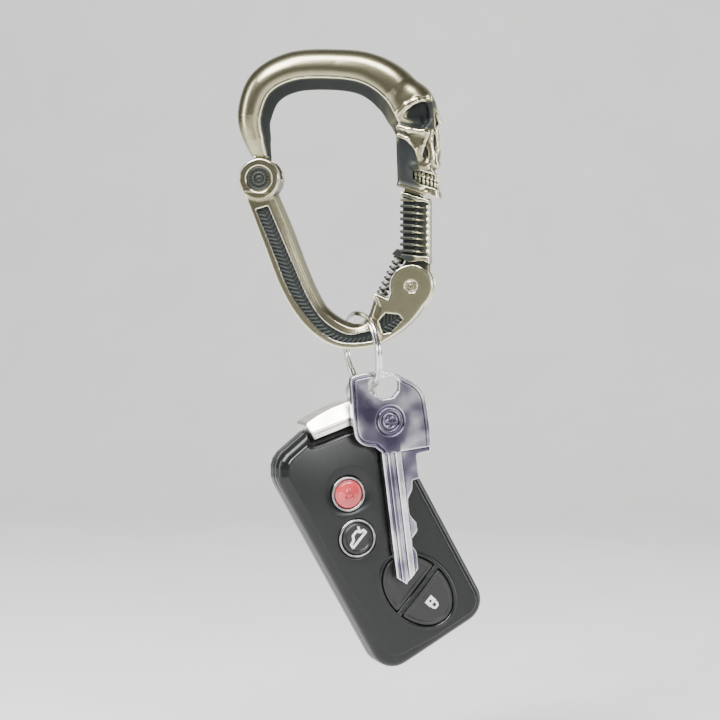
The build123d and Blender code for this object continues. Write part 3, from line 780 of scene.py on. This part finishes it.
def coil_spring(name, foot, head, radius, wire, turns):
    """A compression spring with closed ends."""
    run = head - foot
    up = run.normalized()
    side = up.orthogonal().normalized()
    depth = up.cross(side)
    path, normals = [], []
    count = int(turns * 28)
    for i in range(count + 1):
        t = i / count
        lead = min(1.0, max(0.0, (t * turns - 0.7) / (turns - 1.4)))
        out = side * math.cos(2 * math.pi * turns * t) + depth * math.sin(2 * math.pi * turns * t)
        path.append(foot + up * (wire + (run.length - 2 * wire) * lead) + out * radius)
        normals.append(out)
    angles = [math.radians(a) for a in range(0, 360, 45)]
    return swept(name, path, normals, [(wire * math.cos(a), wire * math.sin(a)) for a in angles])


stand_in(make_ring(), "ring", ring_nickel, "split_ring", slot="nickel")

spring_foot, spring_head = Vector((12.0, 0, -59.4)), Vector((17.2, 0, -48.6))
gate_coil = coil_spring("gate_spring_wire", spring_foot, spring_head, 1.35, 0.41, 8)
stand_in(gate_coil, "carabiner", wire_steel, "gate_spring", slot="spring_steel")
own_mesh(gate_coil)


# ---- pieces that hang on the ring
def hanging(joint, tilt, grip):
    """From a piece's own millimetre-sized plane to where it hangs."""
    depth = -Vector(joints[joint]["axis"])
    up = Vector((0, 0, 1))
    level = depth.cross(up)
    across = level * math.cos(tilt) + up * math.sin(tilt)
    along = up * math.cos(tilt) - level * math.sin(tilt)
    turn = Matrix((across, depth, along)).transposed().to_4x4()
    to_grip = Matrix.Translation((-grip[0] * MM, 0, -grip[1] * MM))
    return Matrix.Translation(joints[joint]["pos_m"]) @ turn @ to_grip


key_tilt = math.radians(7.2)
key_place = hanging("key_swing", key_tilt, (-3.3, 1.1))
draw = Vector(joints["emergency_key_draw"]["axis"])
fob_tilt = math.asin(math.hypot(draw.x, draw.y))
eye, eye_slack = (17.0, 37.5), 1.3
fob_grip = (eye[0] + eye_slack * math.sin(fob_tilt), eye[1] + eye_slack * math.cos(fob_tilt))
fob_place = hanging("fob_swing", fob_tilt, fob_grip)

bow_edge = [
    (-5.5, -16.8), (-8.2, -16.0), (-10.2, -14.6), (-11.3, -12.0), (-11.2, -6.0), (-10.8, 0.0), (-10.6, 3.4),
    (-9.6, 4.7), (-6.0, 5.1), (-2.3, 5.1), (0.4, 4.8), (2.7, 3.9), (5.0, 2.7), (7.0, 1.3), (9.2, -0.2),
    (10.5, -1.7), (11.5, -3.6), (11.8, -6.0), (12.0, -13.3), (11.6, -20.0),
]
bitting = [
    (11.3, -20.6), (7.1, -20.9), (7.1, -28.0), (4.9, -28.3), (4.4, -31.0), (2.7, -33.6), (2.7, -38.2),
    (4.5, -41.0), (4.5, -43.4), (2.5, -45.4), (2.5, -47.6), (3.6, -49.6), (3.4, -54.6), (-0.8, -58.4),
    (-3.6, -56.0), (-3.7, -18.7),
]
key_hole = [
    (-5.1, 1.9), (-4.2, 2.9), (2.6, 2.9), (4.0, 1.2), (3.6, -1.4), (1.8, -3.0), (-1.6, -3.0), (-5.1, -0.4),
]
# Milled ways of the key's blade: left edge, width, depth, and the face (-1 is the front)
key_ways = (
    (-2.9, 0.9, 0.45, -1), (-0.6, 1.0, 0.6, -1), (2.2, 9.0, 0.4, -1), (-0.4, 1.1, 0.6, 1),
    (-3.0, 0.8, 0.4, 1),
)


def make_house_key():
    half = 1.1
    b = Block((-12.2, -1.5, -59.2), (12.8, 1.5, 6.0), 0.13)
    edge = outline(b, np.vstack([curve(bow_edge, 5), bitting]))
    d = slab(b, edge, half, 0.22)
    hole = outline(b, key_hole) - 0.15
    d = cut(d, hole, 0.25)
    # Stamped roundel of plain rings and a ring of dots
    r = np.hypot(b.x, b.z + 9.8)
    turn = np.arctan2(b.z + 9.8, b.x)
    stamp = join(abs(r - 4.15) - 0.3, abs(r - 2.6) - 0.26)
    dot = (r > 1.0) & (r < 1.8) & (np.cos(turn * 5) > 0)
    stamp = np.where(dot, -0.2, stamp)
    d = cut(d, np.maximum(stamp, b.y + half - 0.3), 0.06)
    blade = b.z + 19.2
    for a, width, deep, side in key_ways:
        way = within(a - b.x, b.x - a - width, blade)
        d = cut(d, np.maximum(way, half - deep - side * b.y), 0.1)
    # Pressed border of the bow
    border = np.maximum(abs(edge + 1.15) - 0.16, -19.0 - b.z)
    d = cut(d, np.maximum(border, b.y + half - 0.12), 0.08)
    d = cut(d, np.maximum(border, half - 0.12 - b.y), 0.08)
    # Painted reflection: the bow is darker below a bright band round its hole, except for the lower right
    # corner, and so are parts of the shaft
    band = -4.6 - 0.12 * b.x + np.maximum(-4.0 - b.x, 0)
    darkening_and_painted_light = unit((band - b.z) / 3.5 + 0.4)
    corner = unit((b.z + 17.6 - 0.3 * (b.x - 3.0)) / 3.0 + 0.3)
    darkening_and_painted_light = np.where(b.x > 2.2, darkening_and_painted_light * corner, darkening_and_painted_light) * (b.z > -19.2)
    shaft = 0.7 * ((b.x > 2.2) | (abs(b.x + 1.4) < 0.8)) * (b.z < -19.2)
    return skin(b, d, "house_key_blank", key_place, np.maximum(darkening_and_painted_light, shaft) + 0 * d)


def case_edge():
    """Outline of the fob's case, clockwise from the bottom left."""
    w, l, r = 19.0, 39.0, 7.0
    floor = 34.0
    slope = math.tan(math.radians(10))
    points = [
        (-w, -l + r), (-w, 27.0), (-18.6, 29.4), (-17.1, 32.2), (-15.5, 33.8), (-13.4, 34.8), (-4.2, 36.4),
        (-4.2, floor),
    ]
    points.append((w, floor - (w + 4.2) * slope))
    for k in range(9):
        t = math.radians(11.25 * k)
        points.append((w - r + r * math.cos(t), -l + r - r * math.sin(t)))
    for k in range(9):
        t = math.radians(90 + 11.25 * k)
        points.append((-w + r + r * math.cos(t), -l + r - r * math.sin(t)))
    return np.array(points[:-1])


panic_at, panic_r = (-3.0, 15.0), 4.2
boot_at, boot_r = (-7.0, 2.2), 4.7
bezel_w = 1.0
pad_at, pad_half_w, pad_half_l, pad_split = (1.6, -21.4), 8.8, 12.6, 1.9
pad_turn = math.radians(20.0)
case_half, shell_wall = 6.5, 1.6
blade_at, blade_depth, blade_w, blade_t = 12.6, 2.6, 6.4, 2.0
latch_at = (-8.0, 24.45)


def pad_field(b):
    """Distance to the oval of the key pad, and the place across the bar that splits it."""
    c, s = math.cos(pad_turn), math.sin(pad_turn)
    x, z = b.x - pad_at[0], b.z - pad_at[1]
    u, v = x * c + z * s, z * c - x * s
    k = np.hypot(u / pad_half_w, v / pad_half_l)
    slope = np.hypot(u / pad_half_w**2, v / pad_half_l**2)
    return (k - 1) * k / np.maximum(slope, 1e-6), v


def blade_section(b):
    """Distance to the flat bar of the emergency key, which runs along z."""
    return np.maximum(abs(b.x - blade_at) - blade_w / 2, abs(b.y - blade_depth) - blade_t / 2)


def blade_way(b):
    return np.maximum(blade_section(b) - 0.2, 20.0 - b.z)


def make_front_shell():
    b = Block((-19.6, -7.2, -39.6), (19.6, 0.4, 37.0), 0.26)
    edge = outline(b, case_edge())
    round_r, lip = 2.7, 0.35
    # The face falls away towards the top and the left edge
    sag = 1.6 * unit((b.z - 12) / 24) ** 1.8 + 0.5 * unit((-b.x - 5) / 14) ** 2
    d = np.maximum(rounded_edge(edge, -b.y - case_half + lip + sag, round_r), b.y)
    # Plateau, a little higher than the rounded rim, wider away from the left edge
    inset = 2.6 + 1.6 * unit((-b.z - 5) / 30) * unit(-b.x / 15)
    plateau = np.maximum(edge + inset, -case_half + sag - b.y)
    d = join(d, np.maximum(plateau, b.y + 4.5), 0.6)
    # Dishes round the buttons
    for (a, l), wide, deep in ((panic_at, 7.4, 1.1), (boot_at, 6.8, 0.4)):
        ball = (wide**2 + deep**2) / (2 * deep)
        centre = (a + 0.4, -case_half - ball + deep, l + 0.6)
        d = cut(d, egg(b, centre, (ball, ball, ball), 0, False), 0.35)
    oval, across = pad_field(b)
    ridge = np.hypot(oval - 0.85, b.y + case_half) - 0.42
    d = join(d, ridge, 0.12)
    # Openings for the buttons, with the bar left standing in the pad
    for (a, l), r in ((panic_at, panic_r), (boot_at, boot_r)):
        d = cut(d, round_at(b, a, l, r + bezel_w + 0.05), 0.1)
    d = cut(d, meet(oval - 0.18, pad_split / 2 - 0.15 - abs(across)), 0.2)
    bar = np.hypot(abs(across) - 0.42, b.y + case_half) - 0.36
    d = join(d, np.maximum(bar, oval - 0.6), 0.08)
    # Hollow inside, the way for the blade and the groove of the parting line
    d = cut(d, np.maximum(edge + shell_wall + 0.9, -case_half + shell_wall + 0.3 + sag - b.y))
    d = cut(d, blade_way(b))
    groove = (abs(edge) - 0.42 + abs(b.y + 0.05)) * 0.7
    d = cut(d, groove, 0.1)
    rail = (abs(edge) - 0.3 + abs(b.y + 2.6)) * 0.7
    d = cut(d, rail, 0.2)
    return skin(b, d, "fob_front_moulding", fob_place)


def make_rear_shell():
    b = Block((-19.6, -0.4, -39.6), (19.6, 7.0, 37.0), 0.26)
    edge = outline(b, case_edge())
    round_r = 3.4
    d = np.maximum(rounded_edge(edge, b.y - case_half, round_r), -b.y)
    panel = np.maximum(abs(edge + 4.6) - 0.18, case_half - 0.25 - b.y)
    d = cut(d, panel, 0.2)
    for n in range(5):
        left, right, level = 3.0 - n * 0.35, 12.0 + n * 0.35, 25.0 - n * 2.2
        rib = rod(b, (left, case_half, level), (right, case_half, level), 0.4, 0.4, False)
        d = join(d, rib, 0.2)
    d = cut(d, np.maximum(edge + shell_wall, b.y - case_half + shell_wall))
    window = within(abs(b.x - latch_at[0]) - 3.1, 19.8 - b.z, b.z - 27.1)
    d = cut(d, np.maximum(window, 3.5 - b.y), 0.1)
    d = cut(d, blade_way(b))
    groove = (abs(edge) - 0.42 + abs(b.y - 0.05)) * 0.7
    d = cut(d, groove, 0.1)
    return skin(b, d, "fob_rear_moulding", fob_place)


def make_end_cap():
    """Bright cap of the emergency key: two planes on each face and the eye for the ring."""
    b = Block((-4.6, -6.8, 28.0), (22.2, 6.8, 42.8), 0.2)
    slope = math.tan(math.radians(10))
    lift = 34.15
    edge = outline(b, [
        (-4.05, lift), (-3.95, 38.6), (-3.2, 39.2), (1.0, 39.3), (6.0, 38.9), (10.4, 38.1), (15.0, 36.2),
        (18.4, 34.3), (18.9, 33.4), (18.9, lift - 22.95 * slope),
    ])
    above = (b.z - lift + (b.x + 4.05) * slope) * math.cos(math.atan(slope))
    d = slab(b, edge, 6.3, 0.35)
    d = meet(d, (abs(b.y) - 6.3 + 0.72 * (above - 2.2)) * 0.81, 0.12)
    lip = layer(b, np.maximum(edge, above - 0.7), -6.45, 6.45, 0.2)
    d = join(d, lip, 0.1)
    d = join(d, slab(b, round_at(b, *eye, 4.7), 1.6, 0.5), 0.4)
    d = cut(d, round_at(b, *eye, 3.3), 0.5)
    d = cut(d, np.maximum(blade_section(b), b.z - 33.5))
    return skin(b, d, "emergency_key_cap", fob_place)


def make_round_button(name, at, r, dome):
    b = Block((at[0] - r - 1.2, -7.9, at[1] - r - 1.2), (at[0] + r + 1.2, -4.0, at[1] + r + 1.2), 0.12)
    rad = np.hypot(b.x - at[0], b.z - at[1])
    face, under = -case_half - 0.45, -case_half + shell_wall
    d = layer(b, rad - r, face, under + 0.5, 0.35)
    if dome:
        d = layer(b, rad - r, face + 0.5, under + 0.5, 0.3)
        ball = 6.4
        cap = np.sqrt(rad**2 + (b.y - face - ball + 0.3) ** 2) - ball
        d = join(d, within(cap, rad - r + 0.55, b.y + 5), 0.25)
    else:
        rim = np.hypot(rad - r + 0.75, b.y - face) - 0.28
        d = cut(d, np.maximum(rad - r + 1.15, b.y - face - 0.22), 0.3)
        d = join(d, rim, 0.2)
    d = join(d, layer(b, rad - r - 0.6, under + 0.05, under + 0.5, 0.05))
    return skin(b, d, name, fob_place)


def make_pad_button(name, sign):
    b = Block((pad_at[0] - 12, -7.4, pad_at[1] - 14.5), (pad_at[0] + 12, -4.0, pad_at[1] + 14.5), 0.16)
    oval, across = pad_field(b)
    flat = meet(oval, pad_split / 2 - sign * across, 0.9)
    face, under = -case_half - 0.25, -case_half + shell_wall
    d = layer(b, flat, face, under + 0.5, 0.4)
    d = cut(d, np.maximum(flat + 1.3, b.y - face - 0.16), 0.5)
    wide = meet(oval - 0.6, pad_split / 2 - 0.6 - sign * across, 0.9)
    d = join(d, layer(b, wide, under + 0.05, under + 0.5, 0.05))
    return skin(b, d, name, fob_place)


def make_bezel(name, at, r):
    b = Block((at[0] - r - 1.6, -7.3, at[1] - r - 1.6), (at[0] + r + 1.6, -4.4, at[1] + r + 1.6), 0.1)
    rad = np.hypot(b.x - at[0], b.z - at[1])
    ring = abs(rad - r - (bezel_w + 0.15) / 2) - (bezel_w - 0.15) / 2
    return skin(b, layer(b, ring, -case_half - 0.25, -4.95, 0.36), name, fob_place)


def symbol(name, at, size, depth, strokes, fills, holes, turn):
    """A printed sign that stands a hair above a button: strokes are polylines with a width."""
    half = size * 0.75
    b = Block((-half, depth - 0.35, -half), (half, depth + 0.3, half), 0.07)
    d = np.full((b.x.size, 1, b.z.size), 9.0, np.float32)
    for width, line in strokes:
        d = join(d, nearest(b, np.array(line, float) * size)[0] - width * size)
    for shape in fills:
        d = join(d, outline(b, np.array(shape, float) * size))
    for x, z, r in holes:
        d = cut(d, round_at(b, x * size, z * size, r * size))
    d = layer(b, d, depth - 0.12, depth + 0.25, 0.04)
    turned = Matrix.Rotation(math.radians(turn), 4, "Y")
    return skin(b, d, name, fob_place @ Matrix.Translation((at[0] * MM, 0, at[1] * MM)) @ turned)


def make_latch():
    b = Block((-13.0, 3.2, 21.4), (-3.0, 7.5, 27.4), 0.12)
    thumb = np.maximum(abs(b.x - latch_at[0]) - 2.9, abs(b.z - latch_at[1]) - 2.45)
    d = layer(b, thumb, 5.4, case_half + 0.35, 0.4)
    for n in range(4):
        level = 22.8 + n * 1.1
        grip = rod(b, (-10.2, case_half + 0.3, level), (-5.8, case_half + 0.3, level), 0.32, 0.32, False)
        d = join(d, grip, 0.15)
    foot = np.maximum(abs(b.x - latch_at[0]) - 4.4, abs(b.z - latch_at[1]) - 2.45)
    d = join(d, layer(b, foot, 3.6, case_half - shell_wall - 0.1, 0.2))
    stem = np.maximum(abs(b.x - latch_at[0]) - 1.4, abs(b.z - 24.5) - 1.9)
    d = join(d, layer(b, stem, 4.7, 5.6, 0.05))
    return skin(b, d, "release_latch_slider", fob_place)


def make_latch_coil():
    foot, head = Vector((-8.0, 3.7, 17.2)), Vector((-8.0, 3.7, 21.8))
    coil = coil_spring("latch_spring_wire", foot, head, 0.8, 0.2, 6)
    coil.data.transform(fob_place)
    stand_in(coil, "fob_case", wire_steel, "latch_spring", slot="spring_steel")
    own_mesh(coil)


def make_pin():
    """Gate pin with turned heads and a centre mark."""
    x, z = hinge[0], hinge[2]
    b = Block((x - 2.0, -4.8, z - 2.0), (x + 2.0, 4.8, z + 2.0), 0.1)
    rad = np.hypot(b.x - x, b.z - z)
    d = slab(b, rad - 1.4, frame_half, 0.2)
    head = np.maximum(slab(b, rad - 1.7, frame_half, 0.15), frame_half - 0.5 - abs(b.y))
    d = join(d, head)
    d = cut(d, np.maximum(abs(rad - 0.95) - 0.13, frame_half - 0.18 - abs(b.y)), 0.05)
    d = cut(d, np.maximum(rad - 0.3, frame_half - 0.2 - abs(b.y)), 0.05)
    return skin(b, d, "gate_pin_turned", darkening_and_painted_light=b.filled(0.22 + 0 * d))


fob_pieces = (
    (make_house_key, (), "house_key", nickel, "house_key", "nickel"),
    (make_front_shell, (), "fob_case", black_shell, "fob_front_shell", "black_shell"),
    (make_rear_shell, (), "fob_case", black_shell, "fob_rear_shell", "black_shell"),
    (make_end_cap, (), "emergency_key", chrome_cap, "key_end_cap", "satin_chrome"),
    (make_round_button, ("panic_dome", panic_at, panic_r, True),
     "panic_button", panic_face, "button_panic", "panic_plastic"),
    (make_round_button, ("boot_disc", boot_at, boot_r, False),
     "boot_button", button_black, "button_boot", "button_plastic"),
    (make_pad_button, ("lock_pad", -1), "lock_button", button_black, "button_lock", "button_plastic"),
    (make_pad_button, ("unlock_pad", 1), "unlock_button", button_black, "button_unlock", "button_plastic"),
    (make_bezel, ("panic_bezel", panic_at, panic_r),
     "fob_case", bezel_metal, "bezel_panic", "satin_chrome"),
    (make_bezel, ("boot_bezel", boot_at, boot_r),
     "fob_case", bezel_metal, "bezel_boot", "satin_chrome"),
    (make_latch, (), "latch", button_black, "release_latch", "button_plastic"),
)
for make, values, body, material, node, slot in fob_pieces:
    stand_in(make(*values), body, material, node, slot=slot)
make_latch_coil()
stand_in(make_pin(), "carabiner", brass_pin, "gate_pin", slot="antique_brass")

# Signs on the buttons: a padlock shut, a padlock open, a car with its lid up, a warning triangle
shackle = [(-0.2, 0.05), (-0.2, 0.28), (-0.12, 0.42), (0.12, 0.42), (0.2, 0.28), (0.2, 0.05)]
lock_body = [(-0.33, -0.42), (0.33, -0.42), (0.33, 0.08), (-0.33, 0.08)]
open_shackle = [(0.2, 0.05), (0.2, 0.30), (0.28, 0.44), (0.48, 0.44), (0.56, 0.30), (0.56, 0.18)]
car = [
    (-0.5, -0.12), (-0.46, 0.06), (-0.2, 0.1), (-0.06, 0.28), (0.22, 0.28), (0.34, 0.08), (0.5, 0.04),
    (0.5, -0.12), (-0.5, -0.12),
]
lid = [(0.3, 0.12), (0.52, 0.46)]
triangle = [(-0.46, -0.32), (0.46, -0.32), (0.0, 0.46), (-0.46, -0.32)]
call = [(0.0, -0.04), (0.0, 0.14)]


def along_pad(reach):
    return pad_at[0] - reach * math.sin(pad_turn), pad_at[1] + reach * math.cos(pad_turn)


pad_face = -case_half - 0.09
lock_at = along_pad(-6.0)
unlock_at = (along_pad(6.8)[0] + 1.4, along_pad(6.8)[1])
keyhole = [(0, -0.17, 0.1)]
# Name, body, ink, place, size and depth, then strokes, filled shapes, holes and turn in degrees
signs = (
    ("sign_lock", "lock_button", icon_white, (lock_at, 4.4, pad_face),
     [(0.075, shackle)], [lock_body], keyhole, 160),
    ("sign_unlock", "unlock_button", icon_white, (unlock_at, 3.6, pad_face),
     [(0.06, open_shackle)], [lock_body], keyhole, 160),
    ("sign_boot", "boot_button", icon_white, (boot_at, 6.0, -case_half - 0.23),
     [(0.06, car), (0.06, lid)], (), (), -20),
    ("sign_panic", "panic_button", sign_red, (panic_at, 3.0, -case_half - 0.72),
     [(0.06, triangle), (0.06, call)], (), (), 20),
)
for name, body, ink, where, *drawing in signs:
    sign = symbol(name, *where, *drawing)
    sign.data.materials.append(ink)
    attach(sign, body)

# ---- carried-over CAD pieces
board_green = moulded("board_green", (0.02, 0.11, 0.045), 0.35, 1.2, 0.02)
rubber = moulded("rubber_sheet", (0.05, 0.05, 0.055), 0.7, 0.5, 0.02)
chip_black = moulded("chip_black", (0.012, 0.012, 0.013), 0.5, 0.15)
copper = plated("coil_copper", (0.75, 0.32, 0.16), (0.50, 0.20, 0.10), 0.25, 1.0)
tin = plated("bright_tin", (0.80, 0.80, 0.78), (0.60, 0.60, 0.58), 0.25, 2.0)
cell_steel = plated("cell_steel", (0.78, 0.78, 0.79), (0.62, 0.62, 0.63), 0.22, 4.0)
inner = {
    "button_membrane": rubber, "circuit_board": board_green, "tact_switches": tin,
    "control_chip": chip_black, "antenna_coil": copper, "coin_cell": cell_steel,
    "cell_contact_positive": tin, "cell_contact_negative": tin,
    "emergency_key_blade": blade_nickel, "knuckle_rivet": brass_hook,
}
for name, material in inner.items():
    node = frame["nodes"][name]
    node.data.materials.clear()
    node.data.materials.append(material)

# ---- stage, light and camera
middle = (cad_low + cad_high) / 2
tall = cad_high.z - cad_low.z


def softbox(name, offset, size, power):
    data = bpy.data.lights.new(name, "AREA")
    data.shape = "RECTANGLE"
    data.size, data.size_y = size
    data.energy = power
    lamp = placed(name, data)
    lamp.location = middle + Vector(offset)
    lamp.rotation_euler = (middle - lamp.location).to_track_quat("-Z", "Y").to_euler()


def make_stage():
    """A pale sweep of paper: floor, bend and back wall."""
    near, far, bend, wall = -3.0, 1.1, 0.5, 3.0
    drop = cad_low.z - 0.035
    profile = [(near, drop), (far - bend, drop)]
    for k in range(1, 17):
        t = math.radians(90 * k / 16)
        profile.append((far - bend + bend * math.sin(t), drop + bend * (1 - math.cos(t))))
    profile.append((far, wall))
    reach = 4.0
    verts = [(side * reach, y, z) for y, z in profile for side in (-1, 1)]
    faces = [(2 * k, 2 * k + 1, 2 * k + 3, 2 * k + 2) for k in range(len(profile) - 1)]
    mesh = bpy.data.meshes.new("paper_sweep")
    mesh.from_pydata(verts, [], faces)
    mesh.shade_smooth()
    sweep = placed("paper_sweep", mesh)
    s = Shader("paper", Roughness=0.85)
    s.paint(s.ramp(s.noise(60), (0.3, (0.78, 0.78, 0.77)), (0.7, (0.82, 0.82, 0.81))))
    mesh.materials.append(s.material)


make_stage()
softbox("key_light", (-0.40, -0.55, 0.65), (0.35, 0.35), 15.0)
softbox("left_strip", (-0.85, -0.35, 0.10), (0.15, 0.9), 5.5)
softbox("top_light", (0.0, -0.38, 0.78), (0.6, 0.22), 13.0)
softbox("right_strip", (0.75, 0.25, 0.15), (0.2, 0.9), 4.5)
softbox("front_fill", (0.15, -1.1, -0.1), (0.3, 0.3), 1.2)
softbox("right_low", (0.66, -0.72, 0.17), (0.35, 0.2), 4.0)

world = bpy.data.worlds.new("studio")
world.use_nodes = True
world.node_tree.nodes["Background"].inputs["Color"].default_value = (0.86, 0.87, 0.88, 1)
world.node_tree.nodes["Background"].inputs["Strength"].default_value = 0.16
bpy.context.scene.world = world

lens = bpy.data.cameras.new("camera")
lens.lens = 100.0
lens.sensor_width = 36.0
camera = placed("camera", lens)
azimuth, elevation, distance = math.radians(8.0), math.radians(3.0), tall * 3.25
towards = Vector((
    math.sin(azimuth) * math.cos(elevation), -math.cos(azimuth) * math.cos(elevation), math.sin(elevation),
))
camera.location = middle + towards * distance
camera.rotation_euler = (-towards).to_track_quat("-Z", "Y").to_euler()
bpy.context.scene.camera = camera
